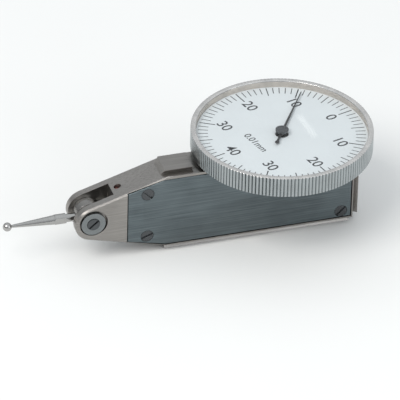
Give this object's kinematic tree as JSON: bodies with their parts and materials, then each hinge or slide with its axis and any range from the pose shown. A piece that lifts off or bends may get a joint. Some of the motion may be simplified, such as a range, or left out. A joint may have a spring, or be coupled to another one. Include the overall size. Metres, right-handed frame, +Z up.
{
  "type": "dial test indicator",
  "caption": "Lever-type dial test indicator: slim dovetailed body, ball-tipped swinging stylus in a forked nose, knurled bezel with a round dial on top.",
  "frame": {"origin": "where the dial axis meets the resting face of the base dovetail", "axes": "+X along the body to its rear end, the stylus at -X; +Z up through the dial; the side cover faces -Y"},
  "size_m": [0.0831, 0.04, 0.0255],
  "materials": {
    "housing_steel": "satin, grained lengthwise",
    "cover_steel": "darker satin plate, grained lengthwise",
    "blued_steel": "dark blued screw",
    "bright_steel": "polished steel",
    "sealed_screw": "screw under dark red sealing lacquer",
    "lever_steel": "milled steel",
    "brass": "machined brass",
    "bronze_washer": "plain bronze",
    "carbide_ball": "polished hard metal",
    "spring_steel": "tempered spring steel",
    "pointer_black": "matt black",
    "cap_grey": "satin dark grey",
    "case_aluminium": "turned aluminium",
    "bezel_aluminium": "satin turned and knurled",
    "dial_white": "white enamel with a printed black scale",
    "crystal_clear": "clear, slightly domed",
    "gasket_black": "thin black ring"
  },
  "bodies": {
    "body": {"body_housing": "housing_steel", "side_cover": "cover_steel", "cover_screw_1": "blued_steel", "cover_screw_2": "blued_steel", "cover_screw_3": "blued_steel", "cover_screw_4": "blued_steel", "front_bearing_disc": "bright_steel", "rear_bearing_disc": "bright_steel", "front_pivot_screw": "bright_steel", "rear_pivot_screw": "bright_steel", "nose_grub_screw": "sealed_screw", "upper_stop_pin": "bright_steel", "lower_stop_pin": "bright_steel", "arbor_rear_bush": "brass", "arbor_front_bush": "brass", "train_bridge": "brass", "train_bridge_screw_1": "blued_steel", "train_bridge_screw_2": "blued_steel", "pointer_bridge": "brass", "pointer_bridge_screw_1": "blued_steel", "pointer_bridge_screw_2": "blued_steel", "centre_bush": "brass", "hairspring": "spring_steel", "hairspring_stud": "brass", "dial_case": "case_aluminium", "case_screw_1": "blued_steel", "case_screw_2": "blued_steel", "bezel_snap_ring": "spring_steel"},
    "bezel": {"bezel": "bezel_aluminium", "crystal": "crystal_clear", "crystal_gasket": "gasket_black", "dial_plate": "dial_white"},
    "lever": {"pivot_axle": "bright_steel", "lever_arm": "lever_steel", "sector_gear": "brass", "sector_rivet_1": "bright_steel", "sector_rivet_2": "bright_steel", "clutch_washer": "bronze_washer"},
    "stylus": {"stylus_holder": "bright_steel", "stylus_shank": "bright_steel", "contact_ball": "carbide_ball"},
    "arbor": {"pinion_arbor": "bright_steel", "crown_gear": "brass"},
    "pointer": {"pointer_arbor": "bright_steel", "hairspring_collet": "brass", "pointer": "pointer_black", "pointer_hub": "cap_grey"}
  },
  "joints": [
    {"name": "bezel_turn", "type": "hinge", "parent": "body", "child": "bezel", "pos_m": [0, 0, 0.0227], "axis": [0, 0, 1], "continuous": true},
    {"name": "lever_swing", "type": "hinge", "parent": "body", "child": "lever", "pos_m": [-0.04372, 0, 0.01], "axis": [0, 1, 0], "range_deg": [-1.4, 1.4], "stiffness_Nm_per_rad": 0.06},
    {"name": "stylus_swing", "type": "hinge", "parent": "lever", "child": "stylus", "pos_m": [-0.04372, 0, 0.01], "axis": [0, 1, 0], "range_deg": [-105, 105]},
    {"name": "arbor_turn", "type": "hinge", "parent": "body", "child": "arbor", "pos_m": [0, 0, 0.01], "axis": [0, 1, 0], "range_deg": [-50, 50]},
    {"name": "pointer_turn", "type": "hinge", "parent": "body", "child": "pointer", "pos_m": [0, 0, 0.0227], "axis": [0, 0, 1], "range_deg": [-202, 202]}
  ],
  "couplings": [
    {"joint": "arbor_turn", "follows": "lever_swing", "ratio": -35.438},
    {"joint": "pointer_turn", "follows": "lever_swing", "ratio": -143.96}
  ]
}
